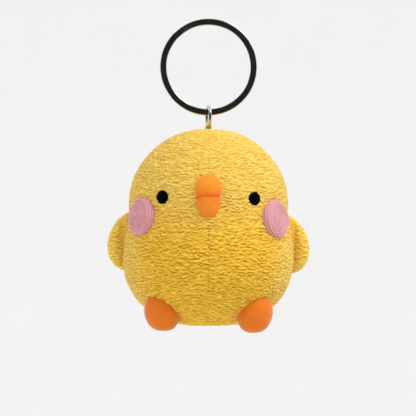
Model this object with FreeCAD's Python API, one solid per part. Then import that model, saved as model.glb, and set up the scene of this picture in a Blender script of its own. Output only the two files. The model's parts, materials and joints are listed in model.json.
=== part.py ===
"""Plush chick keychain: a split ring, a jump ring and a stuffed chick that hangs from it.

Millimetres. +Z is up, the chick faces -Y, and left and right are the chick's own (left is +X).
The origin is the centre of the split ring, which lies in the X-Z plane.
"""

import FreeCAD
import Part

import math
import os

from FreeCAD import Vector

# Split ring: one flat wire wound twice round, the two coils lying face to face
RING_OUTER_RADIUS = 15.0
RING_WIRE_WIDTH = 2.05
RING_COIL_THICKNESS = 1.35
RING_COIL_GAP = 0.08
RING_EDGE_ROUNDING = 0.3
RING_CROSSOVER_AT = 118.0
RING_CROSSOVER_SPAN = 26.0
RING_FREE_END_GAP = 3.0
RING_CROSSOVER_SECTIONS = 9

# Jump ring: a butted round wire
JUMP_HOLE_RADIUS = 2.75
JUMP_WIRE_RADIUS = 0.5
JUMP_REST_GAP = 0.35
JUMP_YAW = 9.0
JUMP_BUTT_GAP = 0.1
JUMP_BUTT_AT = 62.0

# Hang loop: a narrow woven tape folded round the jump ring's wire, its legs sewn into the crown
LOOP_CLEARANCE = 0.2
LOOP_TAPE_THICKNESS = 0.25
LOOP_TAPE_WIDTH = 1.6
LOOP_LEG_DEPTH = 1.6
CROWN_BELOW_WIRE = 0.15
CROWN_HOLE_RADIUS = 1.5
TACK_CLEARANCE = 0.05

# Body: a head and a belly in one round outline
HEAD_REACH = 24.3
HEAD_HEIGHT = 22.7
WAIST_HEIGHT = 16.6
BELLY_REACH = 26.4
BELLY_DROP = 21.0
SIT_FLAT_RADIUS = 5.9
SKIN_THICKNESS = 1.2
SKIN_TO_STUFFING = 0.1
SEAM_GAP = 0.08
CLOSING_RADIUS = 1.6
CLOSING_CLEARANCE = 0.1
CLOSING_ROUNDING = 0.4

# Face and feet are sewn on a degree off level, the left side lower
SEWN_TILT = 1.0
SEAT_GAP = 0.03

EYE_SPREAD = 13.9
EYE_BELOW_HEAD_CENTRE = -1.4
EYE_HALF_WIDTH = 1.75
EYE_HALF_HEIGHT = 2.1
EYE_THICKNESS = 0.5

BEAK_HALF_WIDTH = 4.2
BEAK_TOP_ABOVE_CREASE = 7.0
BEAK_BOTTOM_BELOW_CREASE = 6.2
BEAK_LOWER_HALF_WIDTH = 3.9
BEAK_PROUD = 3.2
BEAK_LOWER_PROUD = 2.7
BEAK_CREASE_ABOVE_HEAD_CENTRE = 1.7
BEAK_COVER = 0.6

CHEEK_AZIMUTH = 55.0
CHEEK_BELOW_HEAD_CENTRE = 4.7
CHEEK_RADIUS = 6.1
CHEEK_THICKNESS = 1.9
CHEEK_RIM_ROUNDING = 0.8

FOOT_SPREAD = 14.4
FOOT_FORWARD = 12.0
FOOT_ABOVE_BASE = 3.3
FOOT_HALF_WIDTH = 5.7
FOOT_HALF_LENGTH = 6.6
FOOT_HALF_HEIGHT = 5.6
FOOT_COVER = 0.9

# Wings: D-shaped pads that thin to a web where they are sewn into the side seams
WING_BODY_GAP = 0.3
WING_REACH = 4.6
WING_HALF_HEIGHT = 8.8
WING_HALF_THICKNESS = 2.9
WING_ABOVE_BELLY_CENTRE = 3.9
WING_WEB_HALF_THICKNESS = 0.5
WING_WEDGE_ANGLE = 50.0
WING_COVER = 0.7
WING_SEAM_GAP = 0.04

COVER_TO_STUFFING = 0.04

UP = Vector(0, 0, 1)
FORWARD = Vector(0, -1, 0)
LEFT = Vector(1, 0, 0)
CENTRE = Vector(0, 0, 0)
FAR = 120.0
SIDES = {"left": 1.0, "right": -1.0}

# Heights that follow from the sizes above, from the split ring's centre down
JUMP_RADIUS = JUMP_HOLE_RADIUS + JUMP_WIRE_RADIUS
RING_HOLE_RADIUS = RING_OUTER_RADIUS - RING_WIRE_WIDTH
JUMP_CENTRE = Vector(0, 0, JUMP_REST_GAP - RING_HOLE_RADIUS - JUMP_HOLE_RADIUS)
WIRE_CENTRE = JUMP_CENTRE - UP * JUMP_RADIUS
CROWN_Z = WIRE_CENTRE.z - JUMP_WIRE_RADIUS - CROWN_BELOW_WIRE
HEAD_Z = CROWN_Z - HEAD_HEIGHT
BELLY_Z = HEAD_Z - WAIST_HEIGHT
BASE_Z = BELLY_Z - BELLY_DROP
WING_HINGE_X = max(BELLY_REACH, HEAD_REACH) + WING_BODY_GAP
WING_Z = BELLY_Z + WING_ABOVE_BELLY_CENTRE


# Shared shapes


def quarter_oval(start, corner, end):
    """Exact quarter of an ellipse, tangent to start-corner at its start and corner-end at its end."""
    curve = Part.BezierCurve()
    curve.setPoles([start, corner, end])
    curve.setWeight(2, math.sqrt(0.5))
    return curve.toShape()


def oval_prism(centre, half_width, half_height, depth):
    """Oval in the X-Z plane about centre, drawn out forward by depth."""
    corners = [(1, 1), (-1, 1), (-1, -1), (1, -1)]
    tips = [(1, 0), (0, 1), (-1, 0), (0, -1)]

    def at(u, w):
        return centre + Vector(u * half_width, 0, w * half_height)

    edges = []
    for i, corner in enumerate(corners):
        edges.append(quarter_oval(at(*tips[i]), at(*corner), at(*tips[(i + 1) % 4])))
    return Part.Face(Part.Wire(edges)).extrude(FORWARD * depth)


def egg(centre, half_x, half_y, half_z):
    """Ellipsoid about centre: an upright quarter oval spun round, then stretched along Y."""
    top = Vector(0, 0, half_z)
    side = Vector(half_x, 0, 0)
    upper = quarter_oval(top, top + side, side)
    lower = quarter_oval(side, side - top, CENTRE - top)
    axis = Part.LineSegment(CENTRE - top, top).toShape()
    ball = Part.Face(Part.Wire([upper, lower, axis])).revolve(CENTRE, UP, 360)
    stretch = FreeCAD.Matrix()
    stretch.scale(1, half_y / half_x, 1)
    ball = ball.transformGeometry(stretch)
    ball.translate(centre)
    return ball


def half_space(normal, offset):
    """Large block that holds the points further than offset along normal."""
    block = Part.makeBox(2 * FAR, 2 * FAR, 2 * FAR, Vector(-FAR, -FAR, offset))
    block.rotate(CENTRE, UP.cross(normal), math.degrees(UP.getAngle(normal)))
    return block


def only_solid(shape):
    """The largest closed solid in a boolean's result."""
    return max(shape.Solids, key=lambda s: s.Volume)


def tilted(x):
    """Drop of a sewn-on piece at x, from the slope of the face."""
    return -x * math.tan(math.radians(SEWN_TILT))


# Body outline


def body_outline(inset):
    """Edges from the crown down to the base, moved in from the surface by inset."""
    head = HEAD_REACH - inset
    belly = BELLY_REACH - inset
    crown = Vector(0, 0, CROWN_Z - inset)
    temple = Vector(head, 0, HEAD_Z)
    hip = Vector(belly, 0, BELLY_Z)
    seat = Vector(SIT_FLAT_RADIUS, 0, BASE_Z + inset)
    third = UP * (WAIST_HEIGHT / 3)
    waist = Part.BezierCurve()
    waist.setPoles([temple, temple - third, hip + third, hip])
    return [
        quarter_oval(crown, Vector(head, 0, crown.z), temple),
        waist.toShape(),
        quarter_oval(hip, Vector(belly, 0, seat.z), seat),
        Part.LineSegment(seat, Vector(0, 0, seat.z)).toShape(),
    ]


def half_section(inset):
    """Flat face between the outline and the axis."""
    axis = Part.LineSegment(Vector(0, 0, BASE_Z + inset), Vector(0, 0, CROWN_Z - inset)).toShape()
    return Part.Face(Part.Wire(body_outline(inset) + [axis]))


def body_form(inset):
    """The body as a full solid, its surface moved in by inset."""
    return half_section(inset).revolve(CENTRE, UP, 360)


def body_reach(z):
    """Radius of the body at a height between the base and the crown."""
    if z >= HEAD_Z:
        return HEAD_REACH * math.sqrt(1 - ((z - HEAD_Z) / HEAD_HEIGHT) ** 2)
    if z >= BELLY_Z:
        t = (HEAD_Z - z) / WAIST_HEIGHT
        return HEAD_REACH + (BELLY_REACH - HEAD_REACH) * t * t * (3 - 2 * t)
    side = BELLY_REACH - SIT_FLAT_RADIUS
    return SIT_FLAT_RADIUS + side * math.sqrt(1 - ((z - BELLY_Z) / BELLY_DROP) ** 2)


# Key ring


def ring_section(angle, offset):
    """Round-cornered section of the split ring's wire, at an angle round the ring, as a wire."""
    plate = Part.makeBox(RING_WIRE_WIDTH, RING_COIL_THICKNESS, RING_WIRE_WIDTH)
    plate = plate.makeFillet(RING_EDGE_ROUNDING, [e for e in plate.Edges if abs(e.tangentAt(0).z) > 0.9])
    face = min(plate.Faces, key=lambda f: f.CenterOfMass.z)
    face.translate(Vector(RING_HOLE_RADIUS, offset - RING_COIL_THICKNESS / 2, 0))
    face.rotate(CENTRE, CENTRE - Vector(0, 1, 0), angle)
    return face.OuterWire


def ring_turn(start, end, offset):
    """One flat coil of the split ring, from one angle to another."""
    section = Part.Face(ring_section(start, offset))
    return section.revolve(CENTRE, CENTRE - Vector(0, 1, 0), end - start)


def split_ring():
    """Two flat coils joined by a crossover, each with a free end beside it."""
    step = (RING_COIL_THICKNESS + RING_COIL_GAP) / 2
    before = RING_CROSSOVER_AT - RING_CROSSOVER_SPAN / 2
    after = RING_CROSSOVER_AT + RING_CROSSOVER_SPAN / 2
    back = ring_turn(after, before + 360 - RING_FREE_END_GAP, step)
    front = ring_turn(after + RING_FREE_END_GAP - 360, before, -step)
    sections = []
    for i in range(RING_CROSSOVER_SECTIONS):
        t = i / (RING_CROSSOVER_SECTIONS - 1)
        ease = t * t * (3 - 2 * t)
        sections.append(ring_section(before + t * RING_CROSSOVER_SPAN, step * (2 * ease - 1)))
    crossover = Part.makeLoft(sections, True)
    return only_solid(front.fuse([crossover, back]).removeSplitter())


def jump_ring():
    """Round wire bent into a ring in the Y-Z plane, turned a little about the upright."""
    span = 360 - math.degrees(JUMP_BUTT_GAP / JUMP_RADIUS)
    wire = Part.makeTorus(JUMP_RADIUS, JUMP_WIRE_RADIUS, CENTRE, UP, 0, 360, span)
    wire.rotate(CENTRE, UP, JUMP_BUTT_AT)
    wire.rotate(CENTRE, Vector(0, 1, 0), 90)
    wire.rotate(CENTRE, UP, JUMP_YAW)
    wire.translate(JUMP_CENTRE)
    return wire


# Hang loop


def loop_outline(half_gap, bottom):
    """Upside-down U: a half circle over the wire and two straight legs, as a flat face."""
    turn = Part.Arc(Vector(half_gap, 0, 0), Vector(0, 0, half_gap), Vector(-half_gap, 0, 0)).toShape()
    corners = ((-half_gap, 0), (-half_gap, bottom), (half_gap, bottom), (half_gap, 0))
    points = [Vector(x, 0, z) for x, z in corners]
    legs = [Part.LineSegment(a, b).toShape() for a, b in zip(points, points[1:])]
    return Part.Face(Part.Wire([turn] + legs))


def placed_on_wire(face, width):
    """A flat face given width along the wire's lowest stretch."""
    body = face.extrude(Vector(0, width, 0))
    body.translate(Vector(0, -width / 2, 0))
    body.rotate(CENTRE, UP, JUMP_YAW)
    body.translate(WIRE_CENTRE)
    return body


def hang_loop():
    """Tape folded over the wire, with both legs reaching down through the crown."""
    inner = JUMP_WIRE_RADIUS + LOOP_CLEARANCE
    foot = CROWN_Z - WIRE_CENTRE.z - LOOP_LEG_DEPTH
    outer_face = loop_outline(inner + LOOP_TAPE_THICKNESS, foot)
    inner_face = loop_outline(inner, foot - LOOP_TAPE_THICKNESS)
    return only_solid(placed_on_wire(outer_face.cut(inner_face), LOOP_TAPE_WIDTH))


def loop_bar_tack():
    """Block of thread that holds the two legs together just inside the crown."""
    half_gap = JUMP_WIRE_RADIUS + LOOP_CLEARANCE - TACK_CLEARANCE
    top = CROWN_Z - WIRE_CENTRE.z - TACK_CLEARANCE
    corner = Vector(-half_gap, -LOOP_TAPE_WIDTH / 2, 0)
    tack = Part.makeBox(2 * half_gap, LOOP_TAPE_WIDTH, LOOP_LEG_DEPTH, corner)
    tack.translate(Vector(0, 0, top - LOOP_LEG_DEPTH))
    tack.rotate(CENTRE, UP, JUMP_YAW)
    tack.translate(WIRE_CENTRE)
    return tack


# Body


def gore_section():
    """Section of the pile fabric from the crown hole to the closing hole."""
    wall = half_section(0).cut(half_section(SKIN_THICKNESS))
    hole = max(CROWN_HOLE_RADIUS, CLOSING_RADIUS)
    corners = [Vector(hole, 0, -2 * FAR), Vector(FAR, 0, -2 * FAR), Vector(FAR, 0, 0), Vector(hole, 0, 0)]
    keep = Part.Face(Part.makePolygon(corners + [corners[0]]))
    return wall.common(keep).Faces[0]


def body_panel(start):
    """One quarter gore, with the seams open by a hair at both edges."""
    seam = math.degrees(SEAM_GAP / 2 / BELLY_REACH)
    section = gore_section()
    section.rotate(CENTRE, UP, start + seam)
    return section.revolve(CENTRE, UP, 90 - 2 * seam).Solids[0]


def body_stuffing():
    """The fill, with a dimple at the crown for the hang loop's legs and one at the closing seam."""
    fill = body_form(SKIN_THICKNESS + SKIN_TO_STUFFING)
    depth = LOOP_LEG_DEPTH + CLOSING_CLEARANCE
    dimple = Part.makeCylinder(CROWN_HOLE_RADIUS, 2 * depth, Vector(0, 0, CROWN_Z - depth))
    closing = Part.makeCylinder(CLOSING_RADIUS, 2 * depth, Vector(0, 0, BASE_Z - depth))
    return only_solid(fill.cut([dimple, closing]))


def closing_stitches():
    """Knot of thread that closes the turning hole under the body."""
    radius = max(CROWN_HOLE_RADIUS, CLOSING_RADIUS) - CLOSING_CLEARANCE
    knot = Part.makeCylinder(radius, SKIN_THICKNESS, Vector(0, 0, BASE_Z))
    rounding = min(CLOSING_ROUNDING, SKIN_THICKNESS / 2)
    return only_solid(knot.makeFillet(rounding, knot.Edges[:1]))


# Face


def eye(side):
    """Thin felt oval lying on the head."""
    x = side * EYE_SPREAD
    centre = Vector(x, 0, HEAD_Z - EYE_BELOW_HEAD_CENTRE + tilted(x))
    oval = oval_prism(centre, EYE_HALF_WIDTH, EYE_HALF_HEIGHT, FAR)
    felt = oval.common(body_form(-SEAT_GAP - EYE_THICKNESS))
    return only_solid(felt.cut(body_form(-SEAT_GAP)))


def cheek(side):
    """Coiled disc seated square on the surface, with a rounded rim."""
    azimuth = math.radians(CHEEK_AZIMUTH)
    z = HEAD_Z - CHEEK_BELOW_HEAD_CENTRE
    reach = body_reach(z)
    x = side * reach * math.sin(azimuth)
    z += tilted(x)
    lean = (body_reach(z - SEAM_GAP) - body_reach(z + SEAM_GAP)) / (2 * SEAM_GAP)
    outward = Vector(side * math.sin(azimuth), -math.cos(azimuth), lean)
    outward.normalize()
    seat = Vector(x, -reach * math.cos(azimuth), z)
    root = CHEEK_RADIUS / 2
    disc = Part.makeCylinder(CHEEK_RADIUS, root + CHEEK_THICKNESS, seat - outward * root, outward)
    rim = max(disc.Edges, key=lambda e: e.CenterOfMass.dot(outward) if e.Closed else -FAR)
    disc = disc.makeFillet(CHEEK_RIM_ROUNDING, [rim])
    return only_solid(disc.cut(body_form(-SEAT_GAP)))


def beak_lobe(inset, upper):
    """Rounded half of the beak, cut off at the crease and at the surface of the head."""
    crease = HEAD_Z + BEAK_CREASE_ABOVE_HEAD_CENTRE
    if upper:
        height, width, proud, way = BEAK_TOP_ABOVE_CREASE, BEAK_HALF_WIDTH, BEAK_PROUD, 1
    else:
        height, width, proud, way = BEAK_BOTTOM_BELOW_CREASE, BEAK_LOWER_HALF_WIDTH, BEAK_LOWER_PROUD, -1
    middle = crease + way * height / 2
    centre = Vector(0, -body_reach(middle), middle)
    lobe = egg(centre, width - inset, proud - inset, height / 2 - inset)
    return only_solid(lobe.cut(body_form(-SEAT_GAP - inset)))


# Feet


def foot_form(side, inset):
    """Egg under the front of the body, flat where it is sewn on."""
    x = side * FOOT_SPREAD
    centre = Vector(x, -FOOT_FORWARD, BASE_Z + FOOT_ABOVE_BASE + tilted(x))
    form = egg(centre, FOOT_HALF_WIDTH - inset, FOOT_HALF_LENGTH - inset, FOOT_HALF_HEIGHT - inset)
    return only_solid(form.cut(body_form(-SEAT_GAP - inset)))


# Wings


def wing_wedge(inset):
    """Upright wedge that opens outward from the root line, with a thin web inside it."""
    slope = math.tan(math.radians(WING_WEDGE_ANGLE))
    web = WING_WEB_HALF_THICKNESS - inset / math.cos(math.radians(WING_WEDGE_ANGLE))
    reach = 2 * WING_REACH
    if web > 0:
        half = [Vector(-reach, web, 0), Vector(0, web, 0)]
    else:
        half = [Vector(-web / slope, 0, 0)]
    half.append(Vector(reach, web + reach * slope, 0))
    mirrored = [Vector(p.x, -p.y, 0) for p in reversed(half) if p.y > 0]
    outline = half + mirrored
    face = Part.Face(Part.makePolygon(outline + [outline[0]]))
    face.translate(Vector(0, 0, -2 * WING_HALF_HEIGHT))
    return face.extrude(UP * 4 * WING_HALF_HEIGHT)


def wing_form(inset):
    """Left wing as one solid about its root line."""
    pad = egg(CENTRE, WING_REACH - inset, WING_HALF_THICKNESS - inset, WING_HALF_HEIGHT - inset)
    form = pad.common(wing_wedge(inset))
    form.translate(Vector(WING_HINGE_X, 0, WING_Z))
    return only_solid(form.cut(body_form(-WING_BODY_GAP)))


def wing_parts(name, side):
    """Front and back covers and the fill of one wing."""
    fill = wing_form(WING_COVER)
    shell = wing_form(0).cut(wing_form(WING_COVER - COVER_TO_STUFFING))
    front_side = half_space(FORWARD, WING_SEAM_GAP / 2)
    back_side = half_space(CENTRE - FORWARD, WING_SEAM_GAP / 2)
    made = {
        name + "_wing_front_cover": only_solid(shell.common(front_side)),
        name + "_wing_back_cover": only_solid(shell.common(back_side)),
        name + "_wing_stuffing": fill,
    }
    drop = tilted(side * WING_HINGE_X)
    for key, shape in made.items():
        if side < 0:
            shape = shape.mirror(CENTRE, LEFT)
        shape.translate(Vector(0, 0, drop))
        made[key] = shape
    return made


def covered(name, form, thickness):
    """A stuffed piece as its cover and its fill, from a function that gives the form at an inset."""
    fill = form(thickness)
    cover = form(0).cut(form(thickness - COVER_TO_STUFFING))
    return {name + "_cover": only_solid(cover), name + "_stuffing": fill}


def all_parts():
    """Every piece of the keychain by name."""
    parts = {
        "split_ring": split_ring(),
        "jump_ring": jump_ring(),
        "hang_loop": hang_loop(),
        "loop_bar_tack": loop_bar_tack(),
        "body_stuffing": body_stuffing(),
        "closing_stitches": closing_stitches(),
    }
    quarters = ["back_left", "back_right", "front_right", "front_left"]
    for i, name in enumerate(quarters):
        parts[name + "_panel"] = body_panel(90 * i)
    for lobe, upper in (("upper", True), ("lower", False)):
        parts.update(covered(lobe + "_beak", lambda inset, u=upper: beak_lobe(inset, u), BEAK_COVER))
    for name, side in SIDES.items():
        parts[name + "_eye"] = eye(side)
        parts[name + "_cheek"] = cheek(side)
        parts.update(covered(name + "_foot", lambda inset, s=side: foot_form(s, inset), FOOT_COVER))
        parts.update(wing_parts(name, side))
    return parts


def main():
    os.makedirs("parts", exist_ok=True)
    for name, shape in all_parts().items():
        shape.exportStep("parts/" + name + ".step")
        print(name, round(shape.Volume, 2), shape.isValid(), shape.ShapeType)


main()
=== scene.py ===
"""Looks of a plush chick keychain: pile fabric, felt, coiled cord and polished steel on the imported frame."""

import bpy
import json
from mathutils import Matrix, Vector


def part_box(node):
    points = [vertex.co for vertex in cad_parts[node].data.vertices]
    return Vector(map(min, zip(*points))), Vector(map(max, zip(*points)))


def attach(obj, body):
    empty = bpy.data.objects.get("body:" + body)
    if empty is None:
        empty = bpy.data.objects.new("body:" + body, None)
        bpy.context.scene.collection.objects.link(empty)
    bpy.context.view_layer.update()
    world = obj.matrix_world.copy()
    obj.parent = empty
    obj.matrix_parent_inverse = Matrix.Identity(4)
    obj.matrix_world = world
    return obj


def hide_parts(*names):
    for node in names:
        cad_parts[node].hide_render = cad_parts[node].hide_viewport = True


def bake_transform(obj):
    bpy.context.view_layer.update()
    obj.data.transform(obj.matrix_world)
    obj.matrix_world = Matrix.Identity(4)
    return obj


bl_info = {
    "name": "Plush Chick Keychain",
    "version": (1, 0, 0),
    "blender": (4, 5, 0),
    "location": "View3D > Sidebar > Plush Chick",
    "description": "Builds the fabric, thread and metal pieces of a plush chick keychain",
    "category": "Object",
}

import itertools
import json
import math

import bpy
import numpy as np
from bpy.props import FloatProperty, FloatVectorProperty, IntProperty, PointerProperty
from bpy.types import Operator, Panel, PropertyGroup
from mathutils import Vector

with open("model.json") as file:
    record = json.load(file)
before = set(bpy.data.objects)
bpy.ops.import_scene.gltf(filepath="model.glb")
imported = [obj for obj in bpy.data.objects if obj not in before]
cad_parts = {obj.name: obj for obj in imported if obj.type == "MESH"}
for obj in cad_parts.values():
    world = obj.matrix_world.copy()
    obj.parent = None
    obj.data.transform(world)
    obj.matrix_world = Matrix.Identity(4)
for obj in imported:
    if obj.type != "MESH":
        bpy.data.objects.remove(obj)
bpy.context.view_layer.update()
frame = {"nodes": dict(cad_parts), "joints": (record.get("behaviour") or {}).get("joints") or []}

MM = 0.001
SIDES = {"left": 1.0, "right": -1.0}
QUARTERS = {"front_right": 180.0, "front_left": 270.0, "back_left": 0.0, "back_right": 90.0}


def box_mm(node):
    """Lowest and highest corner of a CAD node, in millimetres."""
    low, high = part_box(node)
    return np.array(low) / MM, np.array(high) / MM


def middle_and_half(node):
    """Middle of a CAD node's box and half its size, in millimetres."""
    low, high = box_mm(node)
    return (low + high) / 2, (high - low) / 2


def joint_place(name):
    """Where a joint's axis passes, in millimetres."""
    found = next(j for j in frame["joints"] if j["name"] == name)
    return np.array(found["pos_m"]) / MM


def joint_axis(name):
    """Direction of a joint's axis."""
    return np.array(next(j for j in frame["joints"] if j["name"] == name)["axis"])


# Extent of the body in millimetres, from the frame: the cover and a small gap lie outside the stuffing
COVER_AND_GAP = 1.3
BELLY_REACH = float(box_mm("front_left_panel")[1][0])
BASE_Z = float(box_mm("body_stuffing")[0][2]) - COVER_AND_GAP
CROWN_Z = float(box_mm("body_stuffing")[1][2]) + COVER_AND_GAP

# Points down each oval quarter of the outline, down its waist and across its flat
DOME_POINTS, WAIST_POINTS, FLAT_POINTS = 400, 300, 60

# Grid of one gore's outer sheet; the inner one takes every eighth point
GORE_ROWS, GORE_COLUMNS, LINING_STEP = 624, 144, 8
POLE_HOLE = 0.5
LINING_DEPTH = 1.1
SEAM_DEPTH, SEAM_WIDTH = 0.08, 0.35

# Cloth shell of the cover: one unit stands for ten millimetres, the cap and the margin are in millimetres
SHELL_ROWS, SHELL_COLUMNS, SHELL_UNIT = 61, 96, 0.1
FILLING_STEPS = 30
BULGE_CAP = 0.35
SEWN_MARGIN = (1.2, 3.2, 1.2)

# Wound cord of the cheeks: pitch, disc thickness and edge rounding
CORD_PITCH, COIL_THICKNESS, COIL_EDGE = 0.78, 1.5, 1.1

# Tape of the hang loop: its section, and how far its ribs' wave turns at each step
TAPE_WIDTH, TAPE_THICKNESS = 1.9, 0.34
TAPE_RIB_TURN = 1.3

TACK_TURNS, CLOSING_TURNS = 7, 9
VIEW_CENTRE = (-0.14, 0, -43.6)


# Settings a user may change


class ChickShape(PropertyGroup):
    head_reach: FloatProperty(
        name="Head radius", description="Radius of the head at its widest",
        default=24.3 * MM, unit="LENGTH",
    )
    head_height: FloatProperty(
        name="Head height", description="From the crown down to the head's widest ring",
        default=22.7 * MM, unit="LENGTH",
    )
    waist_height: FloatProperty(
        name="Waist height", description="From the head's widest ring to the belly's",
        default=16.6 * MM, unit="LENGTH",
    )
    sit_flat: FloatProperty(
        name="Flat radius", description="Radius of the flat the body sits on",
        default=5.9 * MM, unit="LENGTH",
    )


class PileFabric(PropertyGroup):
    tuft_length: FloatProperty(
        name="Tuft length", description="Length of a tuft along its row",
        default=1.5 * MM, unit="LENGTH",
    )
    row_pitch: FloatProperty(
        name="Row pitch", description="Distance from one row of tufts to the next",
        default=0.93 * MM, unit="LENGTH",
    )
    tuft_rise: FloatProperty(
        name="Tuft rise", description="Height of the tufts over the creases",
        default=0.55 * MM, unit="LENGTH",
    )
    seed: IntProperty(name="Seed", description="Which random layout of tufts", default=11)
    top: FloatVectorProperty(
        name="Tuft colour", description="Colour of the tips",
        default=(0.94, 0.61, 0.065), subtype="COLOR",
    )
    # Painted shade: the crease colour is the darker pile between the tufts, where shade falls
    crease: FloatVectorProperty(
        name="Crease shade colour", description="Painted shade between the tufts",
        default=(0.53, 0.25, 0.007), subtype="COLOR",
    )
    # Painted sheen: tips are painted paler on the head and the flanks, where light falls from above and grazes
    # the sides
    painted_sheen: FloatVectorProperty(
        name="Painted sheen colour", description="Colour of tips painted pale as sheen",
        default=(0.95, 0.74, 0.19), subtype="COLOR",
    )


class TrimColours(PropertyGroup):
    beak: FloatVectorProperty(
        name="Beak", description="Colour of the beak's fabric", default=(0.87, 0.275, 0.018), subtype="COLOR"
    )
    feet: FloatVectorProperty(
        name="Feet", description="Colour of the feet's fabric", default=(0.77, 0.178, 0.008), subtype="COLOR"
    )
    pink: FloatVectorProperty(
        name="Cheeks", description="Colour of the cheeks' cord", default=(0.69, 0.322, 0.352), subtype="COLOR"
    )
    black: FloatVectorProperty(
        name="Eyes", description="Colour of the eyes' felt",
        default=(0.0016, 0.0015, 0.0012), subtype="COLOR",
    )
    steel: FloatVectorProperty(
        name="Steel", description="Colour of the rings", default=(0.62, 0.60, 0.58), subtype="COLOR"
    )


class StudioLight(PropertyGroup):
    sky: FloatProperty(name="Sky", description="Strength of the even light", default=1.04, min=0.0)
    key: FloatProperty(name="Key light", description="Power of the key light", default=2.35, unit="POWER")
    fill: FloatProperty(name="Fill light", description="Power of the fill light", default=0.35, unit="POWER")
    view_width: FloatProperty(
        name="View width", description="Width seen at the chick", default=128.8 * MM, unit="LENGTH"
    )
    distance: FloatProperty(
        name="Camera distance", description="From the camera to the chick", default=0.9, unit="LENGTH"
    )


# Noise


def hashed(cell, seed):
    """Repeatable value from 0 to 1 for each cell: its three indices are multiplied and their bits folded."""
    h = (cell[..., 0] * 73856093) ^ (cell[..., 1] * 19349663) ^ (cell[..., 2] * 83492791) ^ (seed * 2654435)
    h = (h ^ (h >> 13)) * 1274126177 & 0xFFFFFFFF
    h = (h ^ (h >> 15)) * 2246822519 & 0xFFFFFFFF
    return ((h ^ (h >> 16)) & 0xFFFFF) / float(0xFFFFF)


def smooth_noise(p, seed):
    """Value from -1 to 1 that varies smoothly: the eight corners of the unit cell, mixed by 3t^2 - 2t^3."""
    cell = np.floor(p).astype(np.int64)
    t = p - cell
    t = t * t * (3 - 2 * t)
    total = np.zeros(p.shape[:-1])
    for corner in itertools.product((0, 1), repeat=3):
        corner = np.array(corner)
        weight = np.prod(np.where(corner, t, 1 - t), axis=-1)
        total += weight * hashed(cell + corner, seed)
    return 2 * total - 1


def smooth_step(low, high, x):
    """3t^2 - 2t^3 of how far x is from low to high."""
    t = np.clip((x - low) / (high - low), 0, 1)
    return t * t * (3 - 2 * t)


def full_turn(count):
    """Even angles once round, as a row."""
    return np.linspace(0, 2 * np.pi, count, endpoint=False)[None, :]


def unit(vectors):
    """Vectors divided by their lengths."""
    return vectors / np.linalg.norm(vectors, axis=-1, keepdims=True)


# Meshes


def new_piece(name, points, faces, values=None, flat=0):
    """Mesh object from points in millimetres and faces, the last few flat, with named values per point."""
    mesh = bpy.data.meshes.new(name)
    mesh.from_pydata((np.asarray(points) * MM).tolist(), [], faces)
    for key, data in (values or {}).items():
        attribute = mesh.attributes.new(key, "FLOAT", "POINT")
        attribute.data.foreach_set("value", np.asarray(data, np.float32).ravel())
    mesh.polygons.foreach_set("use_smooth", np.arange(len(mesh.polygons)) < len(mesh.polygons) - flat)
    mesh.validate()
    mesh.update()
    piece = bpy.data.objects.new(name, mesh)
    bpy.context.scene.collection.objects.link(piece)
    return piece


def grid_quads(rows, columns, wrap=False, start=0):
    """Corner numbers of a grid's quads, row by row; wrap joins the last column to the first."""
    i, j = np.meshgrid(np.arange(rows - 1), np.arange(columns if wrap else columns - 1), indexing="ij")
    k = (j + 1) % columns
    upper, lower = i * columns, (i + 1) * columns
    quads = np.stack([upper + j, lower + j, lower + k, upper + k], axis=-1)
    return (quads.reshape(-1, 4) + start).tolist()


def ball_piece(name, top, rings, bottom, values=None):
    """Closed piece from rings of points between two poles, from the top down, anticlockwise from above."""
    count, around = rings.shape[:2]
    points = np.vstack([top[None], rings.reshape(-1, 3), bottom[None]])
    faces = grid_quads(count, around, True, 1)
    last = len(points) - 1
    ring = np.arange(around)
    after = (ring + 1) % around
    faces += np.stack([np.zeros_like(ring), ring + 1, after + 1], axis=-1).tolist()
    low = 1 + (count - 1) * around
    faces += np.stack([np.full_like(ring, last), low + after, low + ring], axis=-1).tolist()
    return new_piece(name, points, faces, values)


# Body surface


def body_profile():
    """Radius, height and arc length down the outline: quarter oval, smooth step, quarter oval and flat."""
    shape = bpy.context.scene.chick_shape
    head, flat = shape.head_reach / MM, shape.sit_flat / MM
    head_z = CROWN_Z - shape.head_height / MM
    belly_z = head_z - shape.waist_height / MM
    turn = np.linspace(0, np.pi / 2, DOME_POINTS)
    t = np.linspace(0, 1, WAIST_POINTS)
    radius = [head * np.sin(turn), head + (BELLY_REACH - head) * t * t * (3 - 2 * t)]
    height = [head_z + (CROWN_Z - head_z) * np.cos(turn), head_z + (belly_z - head_z) * t]
    radius += [flat + (BELLY_REACH - flat) * np.cos(turn), np.linspace(flat, 0, FLAT_POINTS)]
    height += [belly_z - (belly_z - BASE_Z) * np.sin(turn), np.full(FLAT_POINTS, BASE_Z)]
    radius, height = np.concatenate(radius), np.concatenate(height)
    length = np.concatenate([[0], np.cumsum(np.hypot(np.diff(radius), np.diff(height)))])
    keep = np.concatenate([[True], np.diff(length) > 1e-6])
    return radius[keep], height[keep], length[keep]


def body_reach(height):
    """Radius of the body at heights in millimetres."""
    radius, z, _ = body_profile()
    return np.interp(-np.asarray(height), -z, radius)


def on_body(x, z):
    """Points and unit normals of the front at x and z: on level circles, leaning as the outline does."""
    reach = body_reach(z)
    y = -np.sqrt(np.maximum(reach**2 - x**2, 0.0))
    lean = (body_reach(z - 0.1) - body_reach(z + 0.1)) / 0.2
    return np.stack([x, y, z], axis=-1), unit(np.stack([x / reach, y / reach, lean], axis=-1))


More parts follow.
